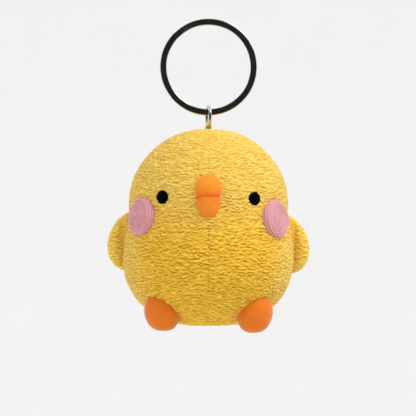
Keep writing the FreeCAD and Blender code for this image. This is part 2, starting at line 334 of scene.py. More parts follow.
def pile(points, along, lively):
    """Tuft height, 0 to 1: noise stretched along the rows, less itself half a row lower, and wavy rows."""
    fabric = bpy.context.scene.pile_fabric
    seed, row = fabric.seed, fabric.row_pitch / MM
    half_long = fabric.tuft_length / MM / 2
    bend = 0.9 * smooth_noise(points / 4.2, seed + 20) + 0.9 * smooth_noise(points / 12.0, seed + 21)
    curl = 0.3 * np.stack([smooth_noise(points / 1.4, seed + k) for k in (30, 31, 32)], axis=-1)
    curl += 0.15 * np.stack([smooth_noise(points / 0.6, seed + k) for k in (33, 34, 35)], axis=-1)

    def strands(long, tall, shift, layer):
        flat = points[..., :2] / long
        q = np.concatenate([flat, ((along + shift) / tall + bend)[..., None]], axis=-1) + curl
        return smooth_noise(q, seed + layer)

    waver = 0.6 * bend + 0.35 * smooth_noise(points / (1.1 * row), seed + 5)
    rows = np.cos(2 * np.pi * (along / row + waver))
    tufts = strands(half_long, 0.44 * row, 0.0, 2) - strands(half_long, 0.44 * row, 0.46 * row, 2)
    fine = strands(0.5 * half_long, 0.32 * row, 0.0, 6)
    height = 0.95 * tufts + 0.25 * rows + 0.25 * fine + 0.2 * smooth_noise(points / 1.5, seed + 90)
    return 0.5 + 0.5 * np.clip(height, -1, 1) * lively


def eye_clearing(points):
    """0 under a felt eye and 1 clear of it, from the oval through its box."""
    free = np.ones(points.shape[:-1])
    for side in SIDES:
        middle, half = middle_and_half(side + "_eye")
        share = (points - middle) / half
        away = np.hypot(share[..., 0], share[..., 2])
        away = np.where(points[..., 1] < 0, away, np.inf)
        free = np.minimum(free, smooth_step(0.8, 1.0, away))
    return free


def held_down(points):
    """1 where the cover is sewn, else 0: along the four seams, at both ends and under each piece sewn on."""
    held = np.zeros(points.shape[:2])
    held[:, :: points.shape[1] // 4] = 1
    held[:2] = 1
    held[-5:] = 1
    parts = ("_eye", "_cheek", "_foot_cover", "_wing_front_cover")
    sewn_on = [side + part for side in SIDES for part in parts]
    for node in sewn_on + ["upper_beak_cover", "lower_beak_cover"]:
        middle, half = middle_and_half(node)
        held[(np.abs(points - middle) < half + SEWN_MARGIN).all(axis=-1)] = 1
    return held


def filled_cover():
    """How far the filling pushes the sewn cover out, in millimetres, as a grid down the outline and round it.

    A coarse closed shell of the body is held where it is sewn and blown up as cloth. The way each point has
    gone along its normal is kept, easing off towards a cap.
    """
    _, z, length = body_profile()
    s = np.linspace(0, length[-1], SHELL_ROWS + 2)[1:-1]
    rings, normal = spun_outline(s, full_turn(SHELL_COLUMNS)[0])
    scale = SHELL_UNIT / MM
    top, bottom = np.array([0, 0, z[0]]), np.array([0, 0, z[-1]])
    shell = ball_piece("cover_form", top * scale, rings * scale, bottom * scale)
    sewn = shell.vertex_groups.new(name="sewn")
    held = np.concatenate([[1], held_down(rings).ravel(), [1]])
    sewn.add(np.flatnonzero(held).tolist(), 1.0, "REPLACE")
    cloth = shell.modifiers.new("Filling", "CLOTH").settings
    cloth.quality = 6
    cloth.tension_stiffness = 15
    cloth.compression_stiffness = 15
    cloth.bending_stiffness = 0.5
    cloth.shrink_min = -0.02
    cloth.use_pressure = True
    cloth.uniform_pressure_force = 3
    cloth.effector_weights.gravity = 0
    cloth.vertex_group_mass = "sewn"
    scene = bpy.context.scene
    for step in range(1, FILLING_STEPS + 1):
        scene.frame_set(step)
    blown = shell.evaluated_get(bpy.context.evaluated_depsgraph_get()).data
    place = np.empty(len(blown.vertices) * 3)
    blown.vertices.foreach_get("co", place)
    moved = place.reshape(-1, 3)[1:-1].reshape(rings.shape) / SHELL_UNIT - rings
    mesh = shell.data
    bpy.data.objects.remove(shell)
    bpy.data.meshes.remove(mesh)
    scene.frame_set(1)
    bulge = np.maximum(np.sum(moved * normal, axis=-1), 0)
    return s, BULGE_CAP * (1 - np.exp(-bulge / BULGE_CAP))


def between(grid, row, column):
    """Values between a grid's points, mixed from the four round each place; the columns join up."""
    low = np.clip(np.floor(row).astype(int), 0, len(grid) - 2)
    left = np.floor(column).astype(int)
    down, across = np.clip(row - low, 0, 1), column - left
    left, right = left % grid.shape[1], (left + 1) % grid.shape[1]
    upper = grid[low, left] * (1 - across) + grid[low, right] * across
    lower = grid[low + 1, left] * (1 - across) + grid[low + 1, right] * across
    return upper * (1 - down) + lower * down


def spun_outline(s, angle):
    """Points and unit normals of the body at lengths down its outline and angles round it."""
    radius, z, length = body_profile()
    r, h = np.interp(s, length, radius), np.interp(s, length, z)
    slope = unit(np.stack([np.gradient(r), np.gradient(h)], axis=-1))
    flat = np.stack([np.cos(angle), np.sin(angle)], axis=-1)
    points = np.empty((len(s), len(angle), 3))
    normal = np.empty_like(points)
    points[..., :2] = r[:, None, None] * flat
    points[..., 2] = h[:, None]
    normal[..., :2] = -slope[:, 1, None, None] * flat
    normal[..., 2] = slope[:, 0, None]
    return points, normal


def body_quarter(name, start, cover):
    """One gore: the outline spun 90 degrees, pushed out by the filling, raised by the pile and lined."""
    fabric = bpy.context.scene.pile_fabric
    radius, _, length = body_profile()
    open_s = np.interp(POLE_HOLE, radius[:DOME_POINTS], length[:DOME_POINTS])
    s = np.linspace(open_s, length[-1] - POLE_HOLE, GORE_ROWS + 1)
    turn = np.linspace(0, 90, GORE_COLUMNS + 1)
    angle = np.radians(start + turn)
    base, normal = spun_outline(s, angle)
    from_top, from_end = s - open_s, s[-1] - s
    ends = (smooth_step(0.0, 2.2, from_top) * smooth_step(0.0, 1.5, from_end))[:, None]
    turn_in = (1 - smooth_step(0.0, 0.35, from_top) * smooth_step(0.0, 0.35, from_end))[:, None]

    head_z = CROWN_Z - bpy.context.scene.chick_shape.head_height / MM
    on_head = smooth_step(head_z - 14, head_z + 4, base[..., 2])
    on_flank = smooth_step(0.6, 0.95, np.abs(np.cos(angle)))[None, :]
    # Painted sheen: paler tips on the head and the flanks, where light falls from above and grazes the sides
    painted_sheen = np.maximum(0.8 * on_head, 0.6 * on_flank)
    lively = eye_clearing(base) * (0.3 + 0.7 * ends) * (1 - 0.25 * np.maximum(on_head, on_flank))
    height = pile(base, np.broadcast_to(s[:, None], on_head.shape), lively)

    lumps = 0.16 * smooth_noise(base / 9.0, fabric.seed + 50)
    reach = np.hypot(base[..., 0], base[..., 1])
    to_seam = np.radians(np.minimum(turn, 90 - turn))[None, :] * reach
    seam = SEAM_DEPTH * np.exp(-((to_seam / SEAM_WIDTH) ** 2)) * (1 - 0.8 * on_head)
    shell_s, bulge = cover
    row = np.interp(s, shell_s, np.arange(len(shell_s)))[:, None]
    filled = between(bulge, row, (start + turn)[None, :] / 360 * bulge.shape[1])
    up = (height - 0.5) * fabric.tuft_rise / MM + filled + (lumps - seam) * ends - 0.7 * turn_in

    outer = (base + normal * up[..., None]).reshape(-1, 3)
    inner = (base - normal * LINING_DEPTH)[::LINING_STEP, ::LINING_STEP].reshape(-1, 3)
    lining = grid_quads(GORE_ROWS // LINING_STEP + 1, GORE_COLUMNS // LINING_STEP + 1, False, len(outer))
    faces = grid_quads(GORE_ROWS + 1, GORE_COLUMNS + 1) + [quad[::-1] for quad in lining]
    edges = gore_edges(GORE_ROWS, GORE_COLUMNS, LINING_STEP, len(outer))
    plain = np.zeros(len(inner))
    # The pile height also paints shade: low tufts take the darker crease colour
    values = {
        "pile": np.concatenate([height.ravel(), plain]),
        "painted_sheen": np.concatenate([painted_sheen.ravel(), plain]),
    }
    return new_piece(name, np.vstack([outer, inner]), faces + edges, values, flat=len(edges))


def gore_edges(rows, columns, coarse, start):
    """Faces that join a fine outer sheet to a coarse inner one round their edge, one per coarse step."""
    wide, narrow = columns + 1, columns // coarse + 1
    faces = []
    for a in range(rows // coarse):
        fine = [(a * coarse + k) * wide for k in range(coarse + 1)]
        faces.append(([start + a * narrow] + fine + [start + (a + 1) * narrow])[::-1])
        fine = [step + columns for step in fine]
        faces.append([start + (a + 1) * narrow - 1] + fine + [start + (a + 2) * narrow - 1])
    last = start + (rows // coarse) * narrow
    for b in range(columns // coarse):
        fine = [b * coarse + k for k in range(coarse + 1)]
        faces.append([start + b] + fine + [start + b + 1])
        fine = [rows * wide + step for step in fine]
        faces.append(([last + b] + fine + [last + b + 1])[::-1])
    return faces


# Small pieces


def turned(frame_axes, middle, radius, height, angle):
    """Points at radius and height round a middle, in the plane of the first two axes and up the third."""
    first, second, up = frame_axes
    flat = radius[..., None] * (np.cos(angle)[..., None] * first + np.sin(angle)[..., None] * second)
    return middle + flat + height[..., None] * up


def felt_eye(name, node):
    """Low felt dome on the body: an oval whose height falls from its middle to its wavering edge."""
    middle, half = middle_and_half(node)
    over = np.linspace(0.04, 1, 26)
    share = np.concatenate([over, np.linspace(0.97, 0.1, 8)])[:, None]
    lift = np.concatenate([0.12 + 0.38 * np.sqrt(1 - over**2), np.full(8, -0.25)])[:, None]
    angle = full_turn(96)
    c, s = np.cos(angle), np.sin(angle)
    waver = 1 + 0.035 * smooth_noise(np.stack([3 * c, 3 * s, 0 * c + middle[0]], -1), 7)
    waver += 0.07 * smooth_noise(np.stack([7 * c, 7 * s, 0 * c + middle[0]], -1), 8)
    place, normal = on_body(middle[0] + half[0] * share * waver * c, middle[2] + half[2] * share * waver * s)
    nap = 0.03 * smooth_noise(place / 0.3, 9) * (share < 0.95)
    rings = place + normal * (lift + nap)[..., None]
    top, top_normal = on_body(middle[0], middle[2])
    return ball_piece(name, top + 0.5 * top_normal, rings, top - 0.25 * top_normal)


def cheek_axes(middle):
    """Across, up and outward directions of a disc that lies square on the body, and the point it sits on."""
    _, tip = on_body(np.array(middle[0]), np.array(middle[2]))
    sideways = unit(np.array([middle[0], middle[1], 0.0]))
    out = sideways * math.sqrt(1 - tip[2] ** 2) + np.array([0, 0, tip[2]])
    across = unit(np.cross([0, 0, 1.0], out))
    seat = sideways * body_reach(middle[2])
    seat[2] = middle[2]
    return (across, np.cross(out, across), out), seat


def coiled_cheek(name, node, side):
    """Cord wound in a flat spiral over a round-edged disc: the cord's ridges follow arc length less turns."""
    middle, half_size = middle_and_half(node)
    axes, seat = cheek_axes(middle)
    half = half_size[2] - 0.35
    flat, rim = half - COIL_EDGE, COIL_THICKNESS - COIL_EDGE
    turn = np.linspace(0, np.pi / 2, 30)[1:]
    radius = np.concatenate([np.linspace(0.08, flat, 84), flat + COIL_EDGE * np.sin(turn), np.full(24, half)])
    level = [np.full(84, COIL_THICKNESS), rim + COIL_EDGE * np.cos(turn), np.linspace(rim, -1.4, 25)[1:]]
    level = np.concatenate(level) + 0.22 * (1 - (radius / half) ** 2)
    dr, dl = np.gradient(radius), np.gradient(level)
    step = np.hypot(dr, dl)
    along = (np.cumsum(step) - step[0] + 0.08)[:, None]
    angle = full_turn(200) * side
    radius, level = radius[:, None], level[:, None]
    nr, nl = (-dl / step)[:, None], (dr / step)[:, None]
    plain = turned(axes, seat, radius + 0 * angle, level + 0 * angle, angle)
    drift = 0.34 * smooth_noise(plain / 2.1, 60) + 0.2 * smooth_noise(plain / 0.8, 61)
    phase = along / CORD_PITCH - full_turn(200) / (2 * np.pi) + drift
    inside = phase - np.floor(phase) - 0.5
    ridge = np.sqrt(np.maximum(1 - (2 * inside) ** 2, 0.0))
    twist = np.stack([along / 0.22 + 0 * angle, radius * np.cos(angle), radius * np.sin(angle)], -1)
    strand = smooth_noise(twist, 62)
    uneven = 0.16 * smooth_noise(plain / 1.7, 63) * smooth_step(2.5, 6.0, radius)
    lift = 0.34 * ridge + 0.05 * strand + uneven - 0.16
    rings = turned(axes, seat, radius + nr * lift, level + nl * lift, angle)
    if side < 0:
        rings = rings[:, ::-1]
    out = axes[2]
    top = seat + out * (COIL_THICKNESS + 0.22)
    # Painted shade: the cord value is low in the creases between the turns
    values = {"cord": np.concatenate([[0.8], (ridge + 0.12 * strand).ravel(), [0.0]])}
    return ball_piece(name, top, rings, seat - out * 1.5, values)


def beak_lobe(name, node, upper):
    """Puffed lobe, wound as it points: a dome from an outline that narrows to its crease or its flat tip."""
    low, high = box_mm(node)
    width = (high - low)[0] / 2
    crease, end = (low[2], high[2]) if upper else (high[2], low[2])
    widest = crease + (0.33 if upper else 0.27) * (end - crease)
    surface = body_reach(widest)
    proud = -low[1] - surface
    angle = full_turn(128)
    c, s = np.cos(angle), np.sin(angle)
    to_crease = np.maximum(-s if upper else s, 0.0)
    to_tip = np.maximum(s if upper else -s, 0.0)
    tip_power, tip_full, taper = (0.0, 0.0, 0.0) if upper else (4.5, 1.6, 0.46)
    power = 2.0 + 0.9 * smooth_step(0.0, 0.9, to_crease) + tip_power * smooth_step(0.0, 0.7, to_tip)
    reach = (np.abs(c) ** power + np.abs(s) ** power) ** (-1 / power)
    tip_tall = abs(end - widest)
    z = np.where(to_crease > 0, 1.35 * abs(widest - crease), tip_tall) * reach * s
    x = width * reach * c * (1 - taper * np.clip(-z / tip_tall, 0, 1) ** 1.35)
    share = [np.linspace(0.03, 0.9, 34), 1 - 0.1 * np.linspace(1, 0, 16)[1:] ** 2, np.linspace(0.995, 0.3, 8)]
    share = np.concatenate(share)[:, None]
    lift = np.concatenate([np.ones(49), -np.linspace(0.15, 1, 8)])[:, None]
    full = 2.1 + 1.4 * smooth_step(0.1, 0.9, to_crease) + tip_full * smooth_step(0.3, 1.0, to_tip)
    dome = np.maximum(1 - share**full, 0.0) ** 0.5
    depth = np.where(lift > 0, dome * proud, 1.4 * lift)
    seat = -surface + 0.3
    rings = np.stack([x * share, seat - depth + 0 * x, widest + z * share], axis=-1)
    rings[..., 1] -= 0.03 * smooth_noise(rings / np.array([0.35, 0.5, 2.2]), 70) * (lift > 0)
    # Painted shade: darker and redder towards the crease where the lobes meet; the lower lobe, under the upper
    # one, has some all over
    past = (widest - rings[..., 2]) / (widest - crease)
    crease_shade = np.maximum(smooth_step(-0.4, 1.0, past), 0.0 if upper else 0.38)
    values = {"crease_shade": np.concatenate([[0.0], crease_shade.ravel(), [0.0]])}
    top = np.array([0.0, seat - proud, widest])
    return ball_piece(name, top, rings, np.array([0.0, seat + 1.4, widest]), values)


def stuffed_foot(name, node, side):
    """Egg with a flattened sole: an oval body whose lower half is squared off, a little fuller outward."""
    low, _ = box_mm(node)
    middle, half = middle_and_half(node)
    half = np.array([half[0] - 0.2, 6.6, 5.9])
    middle = np.array([middle[0] - side * 0.25, low[1] + half[1], low[2] + 0.4 + half[2]])
    lat = (np.linspace(0, 1, 62)[1:-1] * np.pi)[:, None]
    angle = full_turn(110)
    up = np.cos(lat) + 0 * angle
    flat = np.sin(lat) ** np.where(up < 0, 0.72, 0.95)
    x, y = flat * np.cos(angle) + side * 0.10 * up, flat * np.sin(angle)
    z = np.where(up < 0, up * (1 - 0.08 * (1 - np.abs(up))), up)
    rings = middle + np.stack([half[0] * x, half[1] * y, half[2] * z], -1)
    lumps = 0.1 * smooth_noise(rings / 3.2, 80) + 0.02 * smooth_noise(rings / 0.6, 81)
    rings = rings + unit(rings - middle) * lumps[..., None]
    pole = np.array([side * 0.10 * half[0], 0, half[2]])
    return ball_piece(name, middle + pole, rings, middle - pole)


def pile_wing(name, side, hinge):
    """Leaf-shaped flipper: level rings from a hidden root to a rounded edge, kept clear of the body."""
    fabric = bpy.context.scene.pile_fabric
    low, high = box_mm(name.replace("skin", "front_cover"))
    top_z, bottom_z = high[2] + 0.5, low[2] - 0.1
    tip = max(abs(low[0]), abs(high[0])) - 0.15
    root = abs(hinge[0]) - 2.6
    t = np.linspace(0, 1, 150)[1:-1][:, None]
    angle = full_turn(180)
    z = top_z + (bottom_z - top_z) * (1 - np.cos(np.pi * t)) / 2
    level = (z - top_z) / (bottom_z - top_z)
    lower = level**1.3
    across = (tip - root) * (4 * lower * (1 - lower)) ** 0.47
    arch = 4 * level * (1 - level)
    x = root + across * (1 + np.cos(angle)) / 2
    limit = (2.6 + 1.1 * np.maximum(x - abs(hinge[0]), 0)) * arch**0.4
    y = 4.3 * arch**0.7 * np.sin(angle)
    y = np.sign(y) * limit * np.abs(y) / (np.abs(y) ** 3 + limit**3) ** (1 / 3)
    plain = np.stack([side * x, y, z + 0 * angle], -1)
    normal = np.cross(np.gradient(plain, axis=1), np.gradient(plain, axis=0)) * -side
    normal /= np.maximum(np.linalg.norm(normal, axis=-1, keepdims=True), 1e-9)
    height = pile(plain, (top_z - z) + 0 * angle, smooth_step(-1.5, 0.5, x - abs(hinge[0])))
    rings = plain + normal * ((height - 0.4) * fabric.tuft_rise / MM)[..., None]
    if side < 0:
        rings = rings[:, ::-1]
        height = height[:, ::-1]
    values = {
        # Painted shade in the creases, kept lighter on the wings than on the body
        "pile": np.concatenate([[0.5], (0.35 + 0.65 * height).ravel(), [0.5]]),
        # Painted sheen at 0.45 over the whole wing
        "painted_sheen": np.full(height.size + 2, 0.45),
    }
    poles = np.array([[side * root, 0, top_z], [side * root, 0, bottom_z]])
    return ball_piece(name, poles[0], rings, poles[1], values)


def resampled(path, count):
    """Points at even steps of arc length along a path."""
    length = np.concatenate([[0], np.cumsum(np.linalg.norm(np.diff(path, axis=0), axis=1))])
    even = np.linspace(0, length[-1], count)
    return np.stack([np.interp(even, length, path[:, k]) for k in range(3)], axis=-1)


def ribbon(name, path, across, width, thick, ribs):
    """Flat tape along a path: a rounded oblong section, its faces ribbed across, closed at both ends."""
    up = unit(np.cross(unit(np.gradient(path, axis=0)), across))
    angle = full_turn(28)[0]
    c, s = np.cos(angle), -np.sin(angle)
    wide = np.sign(c) * np.abs(c) ** 0.4 * width / 2
    tall = np.sign(s) * np.abs(s) ** 0.4 * thick / 2
    wave = np.sin(np.arange(len(path)) * TAPE_RIB_TURN)[:, None]
    rings = path[:, None] + wide[None, :, None] * across
    rings = rings + (tall[None, :] * (1 + ribs * wave))[..., None] * up[:, None]
    # Painted shade: the cord value dips in the grooves between the tape's ribs
    values = {"cord": np.concatenate([[0.6], (0.8 + 0.2 * wave + 0 * wide).ravel(), [0.6]])}
    return ball_piece(name, path[0], rings, path[-1], values)


def thread_pad(name, middle, axes, half, turns):
    """Turns of thread side by side: a squared oval body ridged along its first axis, wound round it."""
    t = np.linspace(-1, 1, 12 * turns + 2)[1:-1][:, None]
    angle = full_turn(36)
    c, s = np.cos(angle), -np.sin(angle)
    slant = 0.5 * s + 0.3 * smooth_noise(np.stack([turns * t + 0 * c, 2 * c + 0 * t, 2 * s + 0 * t], -1), 90)
    ridge = np.sqrt(np.maximum(1 - np.cos(np.pi * (turns * (t + 1) / 2 + slant)) ** 4, 0))
    swell = (1 - np.abs(t) ** 5) ** 0.4 * (0.84 + 0.16 * ridge)
    wide = half[1] * swell * np.sign(c) * np.abs(c) ** 0.6
    tall = half[2] * swell * np.sign(s) * np.abs(s) ** 0.6
    first, second, third = (np.asarray(axis, float) for axis in axes)
    end = half[0] * first
    rings = middle + t[..., None] * end + wide[..., None] * second + tall[..., None] * third
    # Painted shade: the cord value is low in the grooves between the turns of thread
    values = {"cord": np.concatenate([[0.5], (0.25 + 0.75 * ridge).ravel(), [0.5]])}
    return ball_piece(name, middle - end, rings, middle + end, values)


# Shader helpers


class Shader:
    """A material's node tree with short calls to add and join nodes."""

    def __init__(self, name):
        self.material = bpy.data.materials.new(name)
        self.material.use_nodes = True
        self.tree = self.material.node_tree
        self.surface = self.tree.nodes["Principled BSDF"]

    def add(self, kind, inputs=None, **settings):
        node = self.tree.nodes.new(kind)
        for key, value in settings.items():
            setattr(node, key, value)
        for key, value in (inputs or {}).items():
            self.feed(node.inputs[key], value)
        return node

    def feed(self, socket, value):
        """Joins a socket to another socket, or gives it a plain value."""
        if isinstance(value, bpy.types.NodeSocket):
            self.tree.links.new(value, socket)
        else:
            socket.default_value = value

    def mix(self, factor, first, second, blend="MIX"):
        """Colour between two colours."""
        node = self.add("ShaderNodeMix", data_type="RGBA", blend_type=blend)
        sockets = {socket.identifier: socket for socket in node.inputs}
        self.feed(sockets["Factor_Float"], factor)
        self.feed(sockets["A_Color"], first)
        self.feed(sockets["B_Color"], second)
        return next(socket for socket in node.outputs if socket.identifier == "Result_Color")

    def bump(self, height, strength, distance):
        """Normal tilted by a height; the distance is in metres."""
        inputs = {"Strength": strength, "Distance": distance, "Height": height}
        return self.add("ShaderNodeBump", inputs).outputs["Normal"]

    def set(self, **values):
        for key, value in values.items():
            self.feed(self.surface.inputs[key.replace("_", " ")], value)

    def group(self, tree, **values):
        node = self.tree.nodes.new("ShaderNodeGroup")
        node.node_tree = tree
        for key, value in values.items():
            self.feed(node.inputs[key.replace("_", " ")], value)
        return node


def rgba(colour, scale=1.0):
    """Four-number colour from three, brightened by scale."""
    return [c * scale for c in colour[:3]] + [1.0]


def fibre_group():
    """Group: short crossing fibres as a height and a mask, from noise stretched two ways."""
    tree = bpy.data.node_groups.new("Fibre nap", "ShaderNodeTree")
    face = tree.interface
    face.new_socket("Vector", in_out="INPUT", socket_type="NodeSocketVector")
    for name, default in (("Scale", 1500.0), ("Stretch", 3.0)):
        socket = face.new_socket(name, in_out="INPUT", socket_type="NodeSocketFloat")
        socket.default_value = default
    face.new_socket("Height", in_out="OUTPUT", socket_type="NodeSocketFloat")
    face.new_socket("Fleck", in_out="OUTPUT", socket_type="NodeSocketFloat")
    nodes, links = tree.nodes, tree.links
    inside = nodes.new("NodeGroupInput")
    outside = nodes.new("NodeGroupOutput")
    squeeze = nodes.new("ShaderNodeCombineXYZ")
    squeeze.inputs["X"].default_value = 1.0
    squeeze.inputs["Y"].default_value = 1.0
    links.new(inside.outputs["Stretch"], squeeze.inputs["Z"])
    stretched = nodes.new("ShaderNodeVectorMath")
    stretched.operation = "MULTIPLY"
    links.new(inside.outputs["Vector"], stretched.inputs[0])
    links.new(squeeze.outputs["Vector"], stretched.inputs[1])
    strands = nodes.new("ShaderNodeTexNoise")
    strands.inputs["Detail"].default_value = 3.0
    strands.inputs["Distortion"].default_value = 0.6
    links.new(stretched.outputs["Vector"], strands.inputs["Vector"])
    links.new(inside.outputs["Scale"], strands.inputs["Scale"])
    flecks = nodes.new("ShaderNodeTexNoise")
    flecks.inputs["Detail"].default_value = 1.0
    half = nodes.new("ShaderNodeMath")
    half.operation = "MULTIPLY"
    half.inputs[1].default_value = 0.45
    links.new(inside.outputs["Scale"], half.inputs[0])
    links.new(half.outputs["Value"], flecks.inputs["Scale"])
    links.new(inside.outputs["Vector"], flecks.inputs["Vector"])
    links.new(strands.outputs["Fac"], outside.inputs["Height"])
    links.new(flecks.outputs["Fac"], outside.inputs["Fleck"])
    return tree


def pile_material(name):
    """Curly pile: painted shade from the crease colour to the tip colour by tuft height, a painted pale sheen
    on the head and flanks, with flecks and a fibre bump.
    """
    fabric = bpy.context.scene.pile_fabric
    made = Shader(name)
    place = made.add("ShaderNodeTexCoord").outputs["Object"]
    nap = made.group(fibre_nap(), Vector=place, Scale=1700.0, Stretch=2.4)
    height = made.add("ShaderNodeAttribute", attribute_name="pile").outputs["Fac"]
    # Painted sheen: the tip colour turns pale where this attribute is set, on the head and the flanks
    painted_sheen = made.add("ShaderNodeAttribute", attribute_name="painted_sheen").outputs["Fac"]
    tip = made.mix(painted_sheen, rgba(fabric.top), rgba(fabric.painted_sheen))
    fleck = made.add("ShaderNodeMapRange", {"Value": nap.outputs["Fleck"], "To Min": 0.86, "To Max": 1.12})
    # Painted shade: low tufts take the dark crease colour, high ones the tip colour
    colour = made.mix(1.0, made.mix(height, rgba(fabric.crease), tip), fleck.outputs["Result"], "MULTIPLY")
    made.set(Base_Color=colour, Normal=made.bump(nap.outputs["Height"], 0.5, 0.00012))
    made.set(Roughness=0.9, Sheen_Weight=0.3, Sheen_Roughness=0.4, Specular_IOR_Level=0.1)
    made.surface.inputs["Sheen Tint"].default_value = (1.0, 0.93, 0.7, 1.0)
    return made.material


def fibre_nap():
    """The shared fibre group, built once."""
    return bpy.data.node_groups.get("Fibre nap") or fibre_group()


def felt_material(name, colour, dark, scale=1900.0, bump_depth=0.00005, sheen=0.25, shine=0.2):
    """Short smooth nap: the colour varied slowly and by flecks, painted shade darker and redder at the beak's
    crease, and a fine upright fibre bump.
    """
    made = Shader(name)
    place = made.add("ShaderNodeTexCoord").outputs["Object"]
    nap = made.group(fibre_nap(), Vector=place, Scale=scale, Stretch=0.25)
    slow = made.add("ShaderNodeTexNoise", {"Vector": place, "Scale": 160.0, "Detail": 2.0})
    mixed = made.add(
        "ShaderNodeMath", {0: slow.outputs["Fac"], 1: nap.outputs["Fleck"]}, operation="MULTIPLY"
    )
    ramp = made.add("ShaderNodeValToRGB", {"Fac": mixed.outputs["Value"]})
    ramp.color_ramp.elements[0].position = 0.1
    ramp.color_ramp.elements[0].color = rgba(colour, dark)
    ramp.color_ramp.elements[1].position = 0.4
    ramp.color_ramp.elements[1].color = rgba(colour)
    # Painted shade: darker and redder where the beak's crease attribute is set, at the crease between its
    # lobes
    crease_shade = made.add("ShaderNodeAttribute", attribute_name="crease_shade").outputs["Fac"]
    crease_shade_colour = [colour[0] * 0.9, colour[1] * 0.62, colour[2] * 0.6, 1.0]
    made.set(Base_Color=made.mix(crease_shade, ramp.outputs["Color"], crease_shade_colour))
    made.set(Normal=made.bump(nap.outputs["Height"], 0.4, bump_depth))
    made.set(Roughness=0.75, Sheen_Weight=sheen, Sheen_Roughness=0.4, Specular_IOR_Level=shine)
    return made.material


def cord_material(name, colour):
    """Soft cord: painted shade in the creases, darker where the cord attribute is low, with a fine strand
    bump.
    """
    made = Shader(name)
    place = made.add("ShaderNodeTexCoord").outputs["Object"]
    nap = made.group(fibre_nap(), Vector=place, Scale=2600.0, Stretch=1.0)
    height = made.add("ShaderNodeAttribute", attribute_name="cord").outputs["Fac"]
    # Painted shade: the colour falls to a third in the creases between turns and ribs
    ramp = made.add("ShaderNodeValToRGB", {"Fac": height})
    ramp.color_ramp.elements[0].color = rgba(colour, 0.32)
    ramp.color_ramp.elements[1].position = 0.8
    ramp.color_ramp.elements[1].color = rgba(colour)
    made.set(Base_Color=ramp.outputs["Color"], Normal=made.bump(nap.outputs["Height"], 0.35, 0.00006))
    made.set(Roughness=0.7, Sheen_Weight=0.3, Sheen_Roughness=0.4, Specular_IOR_Level=0.25)
    return made.material


def steel_material(name):
    """Polished plated steel with faint drawing marks and smudges in its roughness."""
    made = Shader(name)
    place = made.add("ShaderNodeTexCoord").outputs["Object"]
    smudge = made.add("ShaderNodeTexNoise", {"Vector": place, "Scale": 220.0, "Detail": 4.0})
    scratch = made.group(fibre_nap(), Vector=place, Scale=3000.0, Stretch=6.0)
    rough = made.add("ShaderNodeMapRange", {"Value": smudge.outputs["Fac"], "To Min": 0.06, "To Max": 0.2})
    made.set(Base_Color=rgba(bpy.context.scene.trim_colours.steel), Roughness=rough.outputs["Result"])
    made.set(Normal=made.bump(scratch.outputs["Height"], 0.06, 0.00002), Metallic=1.0)
    return made.material


def dress(piece, material):
    """Gives a piece its material."""
    piece.data.materials.clear()
    piece.data.materials.append(material)
    return piece


# Operators, one for each group of pieces


class KEYCHAIN_OT_rings(Operator):
    """Polished steel on the split ring and the jump ring"""

    bl_idname = "keychain.rings"
    bl_label = "Steel rings"

    def execute(self, context):
        steel = steel_material("Polished steel")
        for node in ("split_ring", "jump_ring"):
            dress(frame["nodes"][node], steel)
        return {"FINISHED"}


class KEYCHAIN_OT_body(Operator):
    """Four pile gores of the stuffed body"""

    bl_idname = "keychain.body"
    bl_label = "Body"

    def execute(self, context):
        fabric = pile_material("Yellow pile")
        cover = filled_cover()
        for quarter, start in QUARTERS.items():
            piece = body_quarter(quarter + "_skin", start, cover)
            dress(piece, fabric)
            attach(piece, "chick")
            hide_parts(quarter + "_panel")
        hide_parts("body_stuffing")
        return {"FINISHED"}


class KEYCHAIN_OT_wings(Operator):
    """Pile flippers beside the body"""

    bl_idname = "keychain.wings"
    bl_label = "Wings"

    def execute(self, context):
        fabric = pile_material("Yellow pile of the wings")
        for name, side in SIDES.items():
            hinge = joint_place(name + "_wing_flap")
            piece = pile_wing(name + "_wing_skin", side, hinge)
            dress(piece, fabric)
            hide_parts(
                *(name + "_wing_" + part for part in ("front_cover", "back_cover", "stuffing"))
            )
            start, end = Vector(hinge * MM), Vector(hinge * MM)
            start.x -= side * 0.7 * MM
            end.x += side * 1.3 * MM
            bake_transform(piece)
        return {"FINISHED"}


class KEYCHAIN_OT_feet(Operator):
    """Smooth stuffed feet"""

    bl_idname = "keychain.feet"
    bl_label = "Feet"

    def execute(self, context):
        fabric = felt_material("Orange fabric of the feet", context.scene.trim_colours.feet, 0.9)
        for name, side in SIDES.items():
            piece = stuffed_foot(name + "_foot_skin", name + "_foot_cover", side)
            dress(piece, fabric)
            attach(piece, "chick")
            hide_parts(name + "_foot_cover", name + "_foot_stuffing")
        return {"FINISHED"}


class KEYCHAIN_OT_beak(Operator):
    """Two puffed lobes that meet at a crease"""

    bl_idname = "keychain.beak"
    bl_label = "Beak"

    def execute(self, context):
        fabric = felt_material("Orange fabric of the beak", context.scene.trim_colours.beak, 0.9)
        for lobe in ("upper", "lower"):
            piece = beak_lobe(lobe + "_beak_skin", lobe + "_beak_cover", lobe == "upper")
            dress(piece, fabric)
            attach(piece, "chick")
            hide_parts(lobe + "_beak_cover", lobe + "_beak_stuffing")
        return {"FINISHED"}


class KEYCHAIN_OT_eyes(Operator):
    """Black felt ovals"""

    bl_idname = "keychain.eyes"
    bl_label = "Eyes"

    def execute(self, context):
        felt = felt_material("Black felt", context.scene.trim_colours.black, 0.6, sheen=0.0, shine=0.04)
        for name in SIDES:
            piece = felt_eye(name + "_eye_felt", name + "_eye")
            dress(piece, felt)
            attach(piece, "chick")
            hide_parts(name + "_eye")
        return {"FINISHED"}


class KEYCHAIN_OT_cheeks(Operator):
    """Discs of cord wound in a spiral"""

    bl_idname = "keychain.cheeks"
    bl_label = "Cheeks"

    def execute(self, context):
        cord = cord_material("Pink cord", context.scene.trim_colours.pink)
        for name, side in SIDES.items():
            piece = coiled_cheek(name + "_cheek_coil", name + "_cheek", side)
            dress(piece, cord)
            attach(piece, "chick")
            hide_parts(name + "_cheek")
        return {"FINISHED"}


